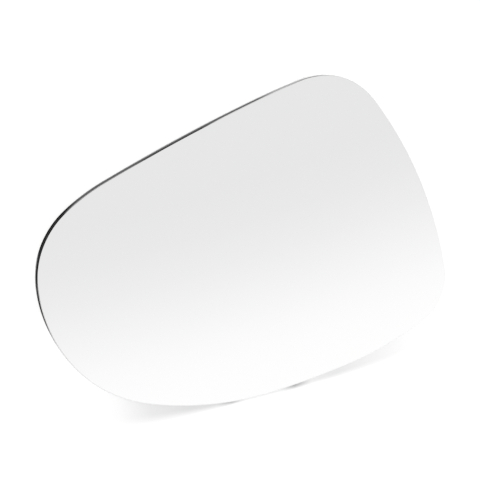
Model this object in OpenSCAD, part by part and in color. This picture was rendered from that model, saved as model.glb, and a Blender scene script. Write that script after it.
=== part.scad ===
// Bare door mirror glass: one convex pane with a ground edge, lying on its rim with its mirror side up.
// X runs along its length, Y across its height and Z out of the mirror face.

/* [Pane] */
// Overall length of the pane
pane_length = 170; // [130:1:210]
// Overall height of the pane
pane_height = 114.5; // [90:0.5:140]
// Thickness of the glass
glass_t = 2; // [1.6:0.1:3]
// Radius of the convex mirror face
face_r = 1400; // [1200:10:2600]
// Radius of the ground arris where the edge meets either face
arris_r = 0.4; // [0.2:0.05:0.7]

/* [Corners] */
// Radius of the upper right corner
upper_right_r = 33.5; // [25:0.5:42]
// Radius where the top edge eases into the upper left bend
top_ease_r = 64; // [52:1:76]
// Radius of the upper left bend
upper_left_r = 28; // [22:0.5:34]
// Radius of the lower left bend
lower_left_r = 56.5; // [46:0.5:66]
// Radius of the lower right corner
lower_right_r = 17; // [10:0.5:24]

/* [Bottom edge] */
// Radius of the bottom edge where it rises to the left
bottom_left_r = 135; // [105:5:165]
// Radius of the nearly straight middle of the bottom edge
bottom_middle_r = 470; // [350:10:600]
// Radius of the bottom edge where it rises to the right
bottom_right_r = 160; // [130:5:190]

/* [Hidden] */

// The outline is a closed chain of arcs that run smoothly into each other, anticlockwise from
// the upper right corner. Each is [radius, angle that it turns through]. The long top and right
// edges are open: they take the two radii that close the chain.
open_r = 0;
arcs = [
    [upper_right_r, 64.5],
    [open_r, 8],
    [top_ease_r, 14],
    [upper_left_r, 56],
    [lower_left_r, 67],
    [bottom_left_r, 22.5],
    [bottom_middle_r, 4],
    [bottom_right_r, 14.5],
    [lower_right_r, 82.5],
    [open_r, 27],
];
last_arc = len(arcs) - 1;
open_arcs = [for (i = [0 : last_arc]) if (arcs[i][0] == open_r) i];
top_edge = open_arcs[0];
right_edge = open_arcs[1];
// Direction in which the glass faces outwards where the first arc starts
first_angle = 35.5;

// The mirror face is level at its crown, given as a share of the length and height from the
// middle. The two right corners and the left end are equally far from it, so the pane rests
// on these three.
crown = [-0.0217 * pane_length, -0.2048 * pane_height];

// Widest step along an arc, in degrees and in millimetres
step_angle = 3;
step_length = 4;
// Steps round each arris, and rings between the middle of a face and its edge
arris_steps = 3;
face_rings = 5;

function facing(angle) = [cos(angle), sin(angle)];
function sum(vectors, i = 0) = i == len(vectors) ? [0, 0] : vectors[i] + sum(vectors, i + 1);
function across(values) = max(values) - min(values);
function middle(values) = (max(values) + min(values)) / 2;
function unit(v) = v / norm(v);

// Where each arc starts to face, and how far an arc of radius 1 would travel there
starts = [for (i = 0, a = first_angle; i <= last_arc; a = a + arcs[i][1], i = i + 1) a];
travels = [for (i = [0 : last_arc]) facing(starts[i] + arcs[i][1]) - facing(starts[i])];

// The gap left by the arcs of given radius, shared out between the top and right edges
gap = -sum([for (i = [0 : last_arc]) arcs[i][0] * travels[i]]);
spread = cross(travels[top_edge], travels[right_edge]);
top_r = cross(gap, travels[right_edge]) / spread;
right_r = cross(travels[top_edge], gap) / spread;
radii = [for (i = [0 : last_arc]) i == top_edge ? top_r : i == right_edge ? right_r : arcs[i][0]];

// Points along the chain, each as [place, outward direction]
corners = [for (i = 0, p = [0, 0]; i <= last_arc; p = p + radii[i] * travels[i], i = i + 1) p];
function arc_steps(i) = ceil(max(arcs[i][1] / step_angle, radii[i] * arcs[i][1] * PI / 180 / step_length));
chain = [
    for (i = [0 : last_arc], k = [0 : arc_steps(i) - 1])
        let (out = facing(starts[i] + arcs[i][1] * k / arc_steps(i)))
            [corners[i] + radii[i] * (out - facing(starts[i])), out]
];

// The chain, moved to the middle and stretched to the overall length and height
chain_x = [for (c = chain) c[0].x];
chain_y = [for (c = chain) c[0].y];
stretch = [pane_length / across(chain_x), pane_height / across(chain_y)];
outline = [for (c = chain) [(c[0].x - middle(chain_x)) * stretch.x, (c[0].y - middle(chain_y)) * stretch.y]];
outward = [for (c = chain) unit([c[1].x / stretch.x, c[1].y / stretch.y])];
count = len(outline);

// The edge's section from the mirror face to the back, as [distance in from the outline, depth]
quarter = [
    for (k = [0 : arris_steps]) arris_r * [1 - sin(90 * k / arris_steps), 1 - cos(90 * k / arris_steps)]
];
section = concat(quarter, [for (k = [arris_steps : -1 : 0]) [quarter[k].x, glass_t - quarter[k].y]]);

// A point at a depth in the glass, square to the mirror face under the plan point p
function in_glass(p, depth) =
    let (x = p.x - crown.x, y = p.y - crown.y, z = sqrt(face_r ^ 2 - x ^ 2 - y ^ 2))
        [p.x, p.y, z - face_r] - depth * [x, y, z] / face_r;
function ring(share, inset, depth) =
    [for (j = [0 : count - 1]) in_glass(share * (outline[j] - inset * outward[j]), depth)];

rings = concat(
    [for (k = [1 : face_rings - 1]) ring(k / face_rings, arris_r, 0)],
    [for (s = section) ring(1, s.x, s.y)],
    [for (k = [face_rings - 1 : -1 : 1]) ring(k / face_rings, arris_r, glass_t)]
);
points = concat([in_glass([0, 0], 0)], [for (r = rings) each r], [in_glass([0, 0], glass_t)]);
last_ring = len(rings) - 1;
back_middle = len(points) - 1;
function index(r, j) = 1 + r * count + j % count;
faces = concat(
    [for (j = [0 : count - 1]) [0, index(0, j + 1), index(0, j)]],
    [for (r = [0 : last_ring - 1], j = [0 : count - 1]) [index(r, j), index(r, j + 1), index(r + 1, j + 1)]],
    [for (r = [0 : last_ring - 1], j = [0 : count - 1]) [index(r, j), index(r + 1, j + 1), index(r + 1, j)]],
    [for (j = [0 : count - 1]) [back_middle, index(last_ring, j), index(last_ring, j + 1)]]
);

// The origin is on the floor, under the middle of the pane
lift = -min([for (p = points) p.z]);
shift = [-middle([for (p = points) p.x]), -middle([for (p = points) p.y]), lift];

module mirror_glass() {
    color([0.86, 0.88, 0.89]) translate(shift) polyhedron(points, faces, convexity = 4);
}

mirror_glass();
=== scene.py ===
import bpy
import math
from mathutils import Matrix, Vector


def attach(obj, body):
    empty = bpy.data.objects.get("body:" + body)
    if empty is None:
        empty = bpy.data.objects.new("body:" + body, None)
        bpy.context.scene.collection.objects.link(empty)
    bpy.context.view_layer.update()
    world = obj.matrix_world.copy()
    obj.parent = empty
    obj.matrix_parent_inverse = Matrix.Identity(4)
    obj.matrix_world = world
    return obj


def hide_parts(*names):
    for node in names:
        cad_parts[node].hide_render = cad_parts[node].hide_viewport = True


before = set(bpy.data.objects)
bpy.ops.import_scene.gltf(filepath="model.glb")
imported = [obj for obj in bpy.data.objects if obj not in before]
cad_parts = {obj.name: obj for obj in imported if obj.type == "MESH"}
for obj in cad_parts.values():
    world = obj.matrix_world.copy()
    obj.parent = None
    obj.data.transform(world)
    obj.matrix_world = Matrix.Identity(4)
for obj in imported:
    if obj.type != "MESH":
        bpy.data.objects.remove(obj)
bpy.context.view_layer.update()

# The glass pane: one sheet of 2 mm glass, sagged hot over a shallow domed mould, cut to a rounded
# trapezoid and ground along its edge. A reflecting coat lies on its domed face and a grey lacquer
# guards its back. Nothing is fixed to it, so it lies on three points of its rim.
pane_length = 0.170
pane_height = 0.1145
glass_thickness = 0.002
face_radius = 1.4
arris_radius = 0.0004
# The face is level at its crown, which lies off the middle of the outline
crown = (-0.0217 * pane_length, -0.2048 * pane_height, 0)
# The outline is a closed chain of arcs, anticlockwise from the upper right corner. Each is its
# radius in millimetres and the angle it turns through. The top and right edges close the chain.
top_edge = 1
right_edge = 9
arcs = [
    [33.5, 64.5],
    [0, 8],
    [64, 14],
    [28, 56],
    [56.5, 67],
    [135, 22.5],
    [470, 4],
    [160, 14.5],
    [17, 82.5],
    [0, 27],
]
first_angle = 35.5


def facing(angle):
    return Vector((math.cos(math.radians(angle)), math.sin(math.radians(angle))))


starts = [first_angle + sum(arc[1] for arc in arcs[:i]) for i in range(len(arcs))]
travels = [facing(start + arc[1]) - facing(start) for start, arc in zip(starts, arcs)]
gap = Vector((0, 0))
for arc, travel in zip(arcs, travels):
    gap -= arc[0] * travel
spread = travels[top_edge].cross(travels[right_edge])
arcs[top_edge][0] = gap.cross(travels[right_edge]) / spread
arcs[right_edge][0] = travels[top_edge].cross(gap) / spread

chain = []
corner = Vector((0, 0))
for (radius, turn), start, travel in zip(arcs, starts, travels):
    steps = math.ceil(math.radians(turn) * radius / 0.5)
    for k in range(steps):
        chain.append(corner + radius * (facing(start + turn * k / steps) - facing(start)))
    corner = corner + radius * travel
left, right = min(p.x for p in chain), max(p.x for p in chain)
bottom, top = min(p.y for p in chain), max(p.y for p in chain)

outline = bpy.data.curves.new("pane_outline", "CURVE")
outline.dimensions = "3D"
spline = outline.splines.new("POLY")
spline.points.add(len(chain) - 1)
for point, p in zip(spline.points, chain):
    x = (p.x - (left + right) / 2) * pane_length / (right - left)
    y = (p.y - (bottom + top) / 2) * pane_height / (top - bottom)
    point.co = (x, y, 0, 1)
spline.use_cyclic_u = True


def add_node(tree, kind, inputs={}, **settings):
    made = tree.nodes.new(kind)
    for name, value in settings.items():
        setattr(made, name, value)
    for name, value in inputs.items():
        if isinstance(value, bpy.types.NodeSocket):
            tree.links.new(value, made.inputs[name])
        else:
            made.inputs[name].default_value = value
    return made


def new_material(name):
    material = bpy.data.materials.new(name)
    material.use_nodes = True
    return material, material.node_tree, material.node_tree.nodes["Principled BSDF"]


def add_range(tree, value, low, high, new_low, new_high):
    limits = {"From Min": low, "From Max": high, "To Min": new_low, "To Max": new_high}
    return add_node(tree, "ShaderNodeMapRange", {"Value": value, **limits}).outputs[0]


def add_ramp(tree, value, stops):
    ramp = add_node(tree, "ShaderNodeValToRGB", {0: value})
    marks = ramp.color_ramp.elements
    while len(marks) < len(stops):
        marks.new(1)
    for mark, (position, tone) in zip(marks, stops):
        mark.position = position
        mark.color = (tone, tone, tone, 1)
    return ramp.outputs[0]


# The reflecting coat: bright metal laid on the domed face, with a clear, polished skin over it. The
# glass below is not quite even, so its reflections waver by a hair, and wiping has left the faintest
# haze in long strokes.
silver, tree, shader = new_material("silvered_face")
shader.inputs["Base Color"].default_value = (0.995, 0.995, 0.995, 1)
shader.inputs["Metallic"].default_value = 1
shader.inputs["Coat Weight"].default_value = 1
shader.inputs["Coat Roughness"].default_value = 0.01
place = add_node(tree, "ShaderNodeTexCoord").outputs["Object"]
strokes = add_node(tree, "ShaderNodeMapping", {"Vector": place, "Scale": (1, 7, 1), "Rotation": (0, 0, 0.6)})
haze = add_node(tree, "ShaderNodeTexNoise", {"Vector": strokes.outputs[0], "Scale": 22, "Detail": 4})
tree.links.new(add_range(tree, haze.outputs[0], 0.35, 0.75, 0.012, 0.03), shader.inputs["Roughness"])
waver = add_node(tree, "ShaderNodeTexNoise", {"Vector": place, "Scale": 26, "Detail": 1})
ripple = add_node(tree, "ShaderNodeBump", {"Height": waver.outputs[0], "Strength": 0.05, "Distance": 0.0002})
tree.links.new(ripple.outputs[0], shader.inputs["Normal"])

# The ground edge: the wheel leaves fine streaks along it. Its tones along its length are painted
# reflections and shade, standing in for the studio it reflects. Along the top it is painted dark next
# to the face, paler next to the back, with painted highlights on stretches of the arris, and painted
# shade makes it nearly black round the left bend. Along the bottom and right a painted reflection makes
# it almost white next to the face and grey next to the back.
edge, tree, shader = new_material("ground_edge")
rim_span = 0.46
rim_width = 0.00246
rim = add_node(tree, "ShaderNodeUVMap", uv_map="UVMap").outputs[0]
along, across, unused = add_node(tree, "ShaderNodeSeparateXYZ", {0: rim}).outputs
length = add_range(tree, along, 0, rim_span, 0, 1)
band = add_range(tree, across, 0, rim_width, 0, 1)
# Painted reflections and shade: tones along the rim for the face half, the back half and the arris
face_half_painted_light = add_ramp(tree, length, [
    (0.07, 0.95),
    (0.09, 0.48),
    (0.105, 0.45),
    (0.12, 0.1),
    (0.28, 0.11),
    (0.29, 0.03),
    (0.36, 0.03),
    (0.38, 0.1),
    (0.4, 0.8),
    (0.44, 0.95),
])
back_half_painted_light = add_ramp(tree, length, [
    (0.09, 0.95),
    (0.105, 0.63),
    (0.16, 0.43),
    (0.22, 0.5),
    (0.26, 0.28),
    (0.275, 0.28),
    (0.285, 0.0),
    (0.325, 0.0),
    (0.335, 0.58),
    (0.345, 0.62),
    (0.36, 0.0),
    (0.37, 0.0),
    (0.39, 1.0),
    (0.44, 1.0),
    (0.5, 0.35),
    (0.97, 0.35),
    (1.0, 0.95),
])
arris_painted_reflection = add_ramp(tree, length, [
    (0.05, 1.0),
    (0.065, 0.28),
    (0.08, 0.28),
    (0.1, 1.0),
    (0.155, 0.7),
    (0.17, 0.0),
    (0.22, 0.0),
    (0.24, 0.42),
    (0.287, 0.42),
    (0.293, 0.0),
    (0.345, 0.0),
    (0.365, 0.82),
    (0.41, 0.82),
    (0.44, 1.0),
])
on_back_half = add_ramp(tree, band, [(0.40, 0.0), (0.60, 1.0)])
on_arris = add_ramp(tree, band, [(0.07, 1.0), (0.13, 0.0)])
flat_painted_light = add_node(tree, "ShaderNodeMix", {0: on_back_half, 6: face_half_painted_light, 7: back_half_painted_light}, data_type="RGBA")
wheel = add_node(tree, "ShaderNodeMapping", {"Vector": rim, "Scale": (60, 9000, 1)})
streaks = add_node(tree, "ShaderNodeTexNoise", {"Vector": wheel.outputs[0], "Scale": 1, "Detail": 3})
streak_tone = add_range(tree, streaks.outputs[0], 0.3, 0.7, 0.88, 1.12)
streaks_and_painted_light = add_node(tree, "ShaderNodeVectorMath", {0: flat_painted_light.outputs[2], "Scale": streak_tone},
                    operation="SCALE")
# The painted light is mixed with the real grinding streaks here, and it sets the metallic too
edge_streaks_and_painted_light = add_node(tree, "ShaderNodeMix", {0: on_arris, 6: streaks_and_painted_light.outputs[0], 7: arris_painted_reflection},
                     data_type="RGBA", clamp_result=True).outputs[2]
shader.inputs["Specular IOR Level"].default_value = 0
tree.links.new(edge_streaks_and_painted_light, shader.inputs["Base Color"])
tree.links.new(edge_streaks_and_painted_light, shader.inputs["Metallic"])
tree.links.new(add_range(tree, streaks.outputs[0], 0.3, 0.7, 0.38, 0.52), shader.inputs["Roughness"])
streak_depth = 0.00002
grind = add_node(tree, "ShaderNodeBump", {
    "Height": streaks.outputs[0],
    "Strength": 0.3,
    "Distance": streak_depth,
})
tree.links.new(grind.outputs[0], shader.inputs["Normal"])

# The lacquered back: a matt grey coat, sprayed on over the glass. It has the fine skin that a spray
# gun leaves, and a little mottle where it lies thicker.
lacquer, tree, shader = new_material("lacquered_back")
place = add_node(tree, "ShaderNodeTexCoord").outputs["Object"]
mottle = add_node(tree, "ShaderNodeTexNoise", {"Vector": place, "Scale": 150, "Detail": 6})
tree.links.new(add_ramp(tree, mottle.outputs[0], [(0.3, 0.2), (0.7, 0.225)]), shader.inputs["Base Color"])
spray = add_node(tree, "ShaderNodeTexNoise", {"Vector": place, "Scale": 1400, "Detail": 2})
tree.links.new(add_range(tree, spray.outputs[0], 0.3, 0.7, 0.5, 0.66), shader.inputs["Roughness"])
skin = add_node(tree, "ShaderNodeBump", {"Height": spray.outputs[0], "Strength": 0.35, "Distance": 0.00004})
tree.links.new(skin.outputs[0], shader.inputs["Normal"])

# The pane's shape follows a rule: a flat grid of rings is wrapped from the middle of the face out
# to the outline, round both arrises and back to the middle, always square to the domed face.
rule = bpy.data.node_groups.new("ground_and_sagged_pane", "GeometryNodeTree")
rule.interface.new_socket("Geometry", in_out="INPUT", socket_type="NodeSocketGeometry")
rule.interface.new_socket("Geometry", in_out="OUTPUT", socket_type="NodeSocketGeometry")
sizes = {
    "Steps Around": ("NodeSocketInt", 480),
    "Face Rings": ("NodeSocketInt", 20),
    "Arris Rings": ("NodeSocketInt", 6),
    "Thickness": ("NodeSocketFloat", glass_thickness),
    "Face Radius": ("NodeSocketFloat", face_radius),
    "Arris Radius": ("NodeSocketFloat", arris_radius),
    "Crown": ("NodeSocketVector", crown),
}
inputs = {}
for name, (kind, value) in sizes.items():
    socket = rule.interface.new_socket(name, in_out="INPUT", socket_type=kind)
    inputs[socket.identifier] = value
given = rule.nodes.new("NodeGroupInput").outputs


def calc(operation, *values):
    return add_node(rule, "ShaderNodeMath", dict(enumerate(values)), operation=operation).outputs[0]


def calc_vector(operation, *values):
    return add_node(rule, "ShaderNodeVectorMath", dict(enumerate(values)), operation=operation).outputs


def times(vector, scale):
    return add_node(rule, "ShaderNodeVectorMath", {0: vector, "Scale": scale}, operation="SCALE").outputs[0]


def limit_to_one(value):
    return add_node(rule, "ShaderNodeClamp", {"Value": value}).outputs[0]


def parts_of(vector):
    return add_node(rule, "ShaderNodeSeparateXYZ", {0: vector}).outputs


def join(x, y, z):
    return add_node(rule, "ShaderNodeCombineXYZ", {0: x, 1: y, 2: z}).outputs[0]


# The flat grid: its X runs round the pane, and its Y from the middle of the face to that of the back
rings = calc("ADD", given["Face Rings"], given["Arris Rings"])
bands = calc("MULTIPLY_ADD", rings, 2, 1)
grid = add_node(rule, "GeometryNodeMeshGrid", {
    "Size X": 1,
    "Size Y": 1,
    "Vertices X": calc("ADD", given["Steps Around"], 1),
    "Vertices Y": calc("ADD", bands, 1),
})
flat_x, flat_y, unused = parts_of(add_node(rule, "GeometryNodeInputPosition").outputs[0])
round_share = calc("ADD", flat_x, 0.5)
ring = calc("ROUND", calc("MULTIPLY", calc("ADD", flat_y, 0.5), bands))

# How far each ring lies out from the middle, in from the outline, and down in the glass
ring_in = calc("MINIMUM", ring, calc("SUBTRACT", bands, ring))
on_back = calc("GREATER_THAN", ring, calc("MULTIPLY", bands, 0.5))
inward = limit_to_one(calc("SUBTRACT", 1, calc("DIVIDE", ring_in, given["Face Rings"])))
share = calc("SUBTRACT", 1, calc("MULTIPLY", inward, inward))
arris_ring = calc("SUBTRACT", ring_in, given["Face Rings"])
arris_angle = calc("MULTIPLY", limit_to_one(calc("DIVIDE", arris_ring, given["Arris Rings"])), math.pi / 2)
inset = calc("MULTIPLY", given["Arris Radius"], calc("SUBTRACT", 1, calc("SINE", arris_angle)))
sunk = calc("MULTIPLY", given["Arris Radius"], calc("SUBTRACT", 1, calc("COSINE", arris_angle)))
face_side = calc("MULTIPLY_ADD", on_back, -2, 1)
depth = calc("MULTIPLY_ADD", sunk, face_side, calc("MULTIPLY", on_back, given["Thickness"]))

# Each point's place in plan, then on the domed face, then down into the glass, square to the face
path = add_node(rule, "GeometryNodeSampleCurve", {"Curves": given["Geometry"], "Factor": round_share},
                mode="FACTOR").outputs
run_x, run_y, unused = parts_of(path["Tangent"])
outward = join(run_y, calc("MULTIPLY", run_x, -1), 0)
plan = times(calc_vector("SUBTRACT", path["Position"], times(outward, inset))[0], share)
from_crown = calc_vector("SUBTRACT", plan, given["Crown"])[0]
reach = calc_vector("DOT_PRODUCT", from_crown, from_crown)["Value"]
rise = calc("SQRT", calc("SUBTRACT", calc("MULTIPLY", given["Face Radius"], given["Face Radius"]), reach))
drop = calc("DIVIDE", reach, calc("ADD", given["Face Radius"], rise))
square_x, square_y, unused = parts_of(from_crown)
square_to_face = join(square_x, square_y, rise)
on_face = calc_vector("SUBTRACT", plan, join(0, 0, drop))[0]
in_glass = times(square_to_face, calc("DIVIDE", depth, given["Face Radius"]))
wrapped_place = calc_vector("SUBTRACT", on_face, in_glass)[0]

# The edge's own map in metres: along the outline, and across from the mirror face to the back
rim_length = add_node(rule, "GeometryNodeCurveLength", {0: given["Geometry"]}).outputs[0]
arc_run = calc("MULTIPLY", given["Arris Radius"], arris_angle)
face_run = calc("SUBTRACT", arc_run, calc("MULTIPLY", calc("SUBTRACT", 1, share), 0.05))
whole_run = calc("MULTIPLY_ADD", given["Arris Radius"], math.pi - 2, given["Thickness"])
across_run = calc("MULTIPLY_ADD", face_run, face_side, calc("MULTIPLY", on_back, whole_run))
mapped = add_node(rule, "GeometryNodeStoreNamedAttribute", {
    "Geometry": grid.outputs["Mesh"],
    "Name": "UVMap",
}, data_type="FLOAT2", domain="CORNER")
rim_map = join(calc("MULTIPLY", round_share, rim_length), across_run, 0)
rule.links.new(rim_map, mapped.inputs["Value"])
kept = add_node(rule, "GeometryNodeCaptureAttribute", {"Geometry": mapped.outputs[0]}, domain="POINT")
kept.capture_items.new("FLOAT", "Ring")
rule.links.new(ring, kept.inputs["Ring"])
kept_ring = kept.outputs["Ring"]

# The wrapped sheet is closed, turned right side out and set on the floor, as the solid pane is
wrapped = add_node(rule, "GeometryNodeSetPosition", {"Geometry": kept.outputs[0], "Position": wrapped_place})
closed = add_node(rule, "GeometryNodeMergeByDistance", {"Geometry": wrapped.outputs[0], "Distance": 1e-6})
turned = add_node(rule, "GeometryNodeFlipFaces", {"Mesh": closed.outputs[0]})
box = add_node(rule, "GeometryNodeBoundBox", {"Geometry": turned.outputs[0]}).outputs
low_x, low_y, low_z = parts_of(box["Min"])
high_x, high_y, unused = parts_of(box["Max"])
to_floor = join(
    calc("MULTIPLY", calc("ADD", low_x, high_x), -0.5),
    calc("MULTIPLY", calc("ADD", low_y, high_y), -0.5),
    calc("MULTIPLY", low_z, -1),
)
settled = add_node(rule, "GeometryNodeSetPosition", {"Geometry": turned.outputs[0], "Offset": to_floor})
smooth = add_node(rule, "GeometryNodeSetShadeSmooth", {"Geometry": settled.outputs[0]})
real = add_node(rule, "GeometryNodeRealizeInstances", {"Geometry": smooth.outputs[0]})
coated = add_node(rule, "GeometryNodeSetMaterial", {"Geometry": real.outputs[0], "Material": silver})
ground = add_node(rule, "GeometryNodeSetMaterial", {
    "Geometry": coated.outputs[0],
    "Selection": calc("GREATER_THAN", kept_ring, given["Face Rings"]),
    "Material": edge,
})
back_start = calc("SUBTRACT", bands, given["Face Rings"])
sprayed = add_node(rule, "GeometryNodeSetMaterial", {
    "Geometry": ground.outputs[0],
    "Selection": calc("GREATER_THAN", kept_ring, back_start),
    "Material": lacquer,
})
add_node(rule, "NodeGroupOutput", {"Geometry": sprayed.outputs[0]})

pattern = bpy.data.objects.new("pane_outline", outline)
bpy.context.scene.collection.objects.link(pattern)
making = pattern.modifiers.new("pane", "NODES")
making.node_group = rule
for identifier, value in inputs.items():
    making[identifier] = value
graph = bpy.context.evaluated_depsgraph_get()
pane_mesh = bpy.data.meshes.new_from_object(pattern.evaluated_get(graph), depsgraph=graph)
pane_mesh.name = "mirror_pane"
pane = bpy.data.objects.new("mirror_pane", pane_mesh)
bpy.context.scene.collection.objects.link(pane)
pattern.modifiers.clear()
bpy.data.objects.remove(pattern)
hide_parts("mirror_glass")
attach(pane, "root")

# The floor: one wide white sheet of studio board, level with the rim's three points of rest. To the
# camera it adds a little light of its own, so that it is white and keeps the pane's soft shadow. A
# long faint painted shadow lies in its colour along the bottom edge, with a soft curved border and two
# small dark spots of painted shade.
half_floor = 20
floor_corners = [
    (-half_floor, -half_floor, 0),
    (half_floor, -half_floor, 0),
    (half_floor, half_floor, 0),
    (-half_floor, half_floor, 0),
]
floor_mesh = bpy.data.meshes.new("floor")
floor_mesh.from_pydata(floor_corners, [], [(0, 1, 2, 3)])
floor = bpy.data.objects.new("floor", floor_mesh)
bpy.context.scene.collection.objects.link(floor)
board, tree, shader = new_material("white_board")
shadow_left = -0.075
shadow_right = 0.08
border_middle = (0.0826, 0.7349, 0)
border_radius = 0.799
shadow_reach = (0.014, 0.026)
spots_reach = (0.0012, 0.0024)
paper_white = 0.6
added_light = 0.46
place = add_node(tree, "ShaderNodeTexCoord").outputs["Object"]
side_x, side_y, unused = add_node(tree, "ShaderNodeSeparateXYZ", {0: place}).outputs
along_edge = add_range(tree, side_x, shadow_left, shadow_right, 0, 1)
# Painted shadow: how dark the painted shadow is along the bottom edge, with its two painted dark spots
painted_shadow_depth = add_ramp(tree, along_edge, [
    (0.03, 0.04),
    (0.08, 0.07),
    (0.16, 0.21),
    (0.26, 0.28),
    (0.33, 0.28),
    (0.4, 0.15),
    (0.6, 0.17),
    (0.67, 0.22),
    (0.8, 0.13),
    (0.9, 0.06),
    (1.0, 0.0),
])
painted_shadow_spots = add_ramp(tree, along_edge, [
    (0.33, 0.0),
    (0.37, 0.32),
    (0.41, 0.0),
    (0.51, 0.0),
    (0.55, 0.38),
    (0.6, 0.0),
])
softness = add_ramp(tree, along_edge, [(0.04, 0.8), (0.39, 0.12), (0.62, 0.22), (0.94, 0.55)])
from_middle = add_node(tree, "ShaderNodeVectorMath", {0: place, 1: border_middle},
                       operation="DISTANCE").outputs["Value"]
inside = add_node(tree, "ShaderNodeMath", {0: border_radius, 1: from_middle},
                  operation="SUBTRACT").outputs[0]
in_centimetres = add_node(tree, "ShaderNodeMath", {0: inside, 1: 100},
                          operation="MULTIPLY").outputs[0]
in_widths = add_node(tree, "ShaderNodeMath", {0: in_centimetres, 1: softness},
                     operation="DIVIDE").outputs[0]
border = add_node(tree, "ShaderNodeMapRange", {
    "Value": in_widths,
    "From Min": -0.5,
    "From Max": 0.5,
}, interpolation_type="SMOOTHSTEP")
painted_shadow_area = add_node(tree, "ShaderNodeMath", {
    0: border.outputs[0],
    1: add_range(tree, inside, *shadow_reach, 1, 0),
}, operation="MULTIPLY").outputs[0]
near_border = add_range(tree, inside, *spots_reach, 1, 0)
# How dark the painted shadow is at each point of the board
painted_shadow_darkness = add_node(tree, "ShaderNodeMath", {0: painted_shadow_spots, 1: near_border, 2: painted_shadow_depth},
                    operation="MULTIPLY_ADD").outputs[0]
painted_shade = add_node(tree, "ShaderNodeMath", {0: painted_shadow_area, 1: painted_shadow_darkness}, operation="MULTIPLY").outputs[0]
# The painted shadow darkens the board's colour and its added light alike
clear = add_node(tree, "ShaderNodeMath", {0: 1, 1: painted_shade}, operation="SUBTRACT").outputs[0]
white_with_painted_shadow = add_node(tree, "ShaderNodeCombineColor", {0: clear, 1: clear, 2: clear}).outputs[0]
paper_with_painted_shadow = add_node(tree, "ShaderNodeVectorMath", {0: white_with_painted_shadow, "Scale": paper_white},
                 operation="SCALE").outputs[0]
tree.links.new(paper_with_painted_shadow, shader.inputs["Base Color"])
shader.inputs["Roughness"].default_value = 0.9
shader.inputs["Specular IOR Level"].default_value = 0
ray = add_node(tree, "ShaderNodeLightPath").outputs
mirrored = add_node(tree, "ShaderNodeMath", {0: ray["Is Glossy Ray"], 1: ray["Is Transmission Ray"]},
                    operation="MAXIMUM").outputs[0]
seen = add_node(tree, "ShaderNodeMath", {0: mirrored, 1: ray["Is Camera Ray"]},
                operation="MAXIMUM").outputs[0]
lift = add_node(tree, "ShaderNodeMath", {0: seen, 1: added_light}, operation="MULTIPLY").outputs[0]
glow = add_node(tree, "ShaderNodeEmission", {"Color": white_with_painted_shadow, "Strength": lift})
both = add_node(tree, "ShaderNodeAddShader", {0: shader.outputs[0], 1: glow.outputs[0]})
tree.links.new(both.outputs[0], tree.nodes["Material Output"].inputs["Surface"])
floor_mesh.materials.append(board)

# The studio: one broad, soft lamp high above the pane's upper left, in a white room. Mirrors see a
# white panel slanting over the pane's bottom edge, which fades to pale grey overhead and behind,
# and again down towards the floor.
lamp_data = bpy.data.lights.new("broad_soft_lamp", "SUN")
lamp_data.angle = math.radians(20)
lamp_data.energy = 2.35
lamp = bpy.data.objects.new("broad_soft_lamp", lamp_data)
bpy.context.scene.collection.objects.link(lamp)
lamp_from = Vector((-0.45, 0.35, 1.0)).normalized()
lamp.rotation_euler = lamp_from.to_track_quat("Z", "Y").to_euler()
lamp.visible_glossy = False

room = bpy.data.worlds.new("white_room")
room.use_nodes = True
bpy.context.scene.world = room
tree = room.node_tree
tree.nodes.clear()
sky = add_node(tree, "ShaderNodeTexCoord").outputs["Generated"]
fade_line = Vector((-0.0584, -0.9394, -0.3379))
height = add_node(tree, "ShaderNodeVectorMath", {0: sky, 1: fade_line},
                  operation="DOT_PRODUCT").outputs["Value"]
fade = add_ramp(tree, add_range(tree, height, -1, 1, 0, 1), [
    (0.0, 0.56),
    (0.25, 0.72),
    (0.4, 0.803),
    (0.45, 0.804),
    (0.475, 0.82),
    (0.5, 0.857),
    (0.55, 0.963),
    (0.565, 0.984),
    (0.58, 0.995),
    (0.6, 1.0),
    (0.7, 1.0),
    (0.85, 0.8),
    (1.0, 0.62),
])
backdrop = add_node(tree, "ShaderNodeBackground", {"Color": fade, "Strength": 1})
white = add_node(tree, "ShaderNodeBackground", {"Color": (1, 1, 1, 1), "Strength": 1})
wall_light = 0.35
walls = add_node(tree, "ShaderNodeBackground", {"Color": (1, 1, 1, 1), "Strength": wall_light})
ray = add_node(tree, "ShaderNodeLightPath").outputs
mirrored = add_node(tree, "ShaderNodeMath", {0: ray["Is Glossy Ray"], 1: ray["Is Transmission Ray"]},
                    operation="MAXIMUM").outputs[0]
around = add_node(tree, "ShaderNodeMixShader", {0: mirrored, 1: walls.outputs[0], 2: backdrop.outputs[0]})
behind = add_node(tree, "ShaderNodeMixShader", {0: ray["Is Camera Ray"], 1: around.outputs[0],
                                                2: white.outputs[0]})
add_node(tree, "ShaderNodeOutputWorld", {"Surface": behind.outputs[0]})

# The camera stands off the pane's upper left, looks steeply down on its face and is rolled, so
# that the pane's long top edge runs up to the right.
camera_data = bpy.data.cameras.new("camera")
camera_data.lens = 83.15
camera_data.sensor_width = 36
camera_data.clip_start = 0.01
camera = bpy.data.objects.new("camera", camera_data)
bpy.context.scene.collection.objects.link(camera)
camera_right = Vector((0.85031, -0.08973, 0.51857))
camera_up = Vector((0.24752, 0.93776, -0.24361))
camera_back = Vector((-0.46443, 0.33550, 0.81960))
turned_to = Matrix((camera_right, camera_up, camera_back)).transposed()
camera.matrix_world = Matrix.Translation((-0.190839, 0.136453, 0.323306)) @ turned_to.to_4x4()
bpy.context.scene.camera = camera

bpy.context.scene.view_settings.view_transform = "Standard"
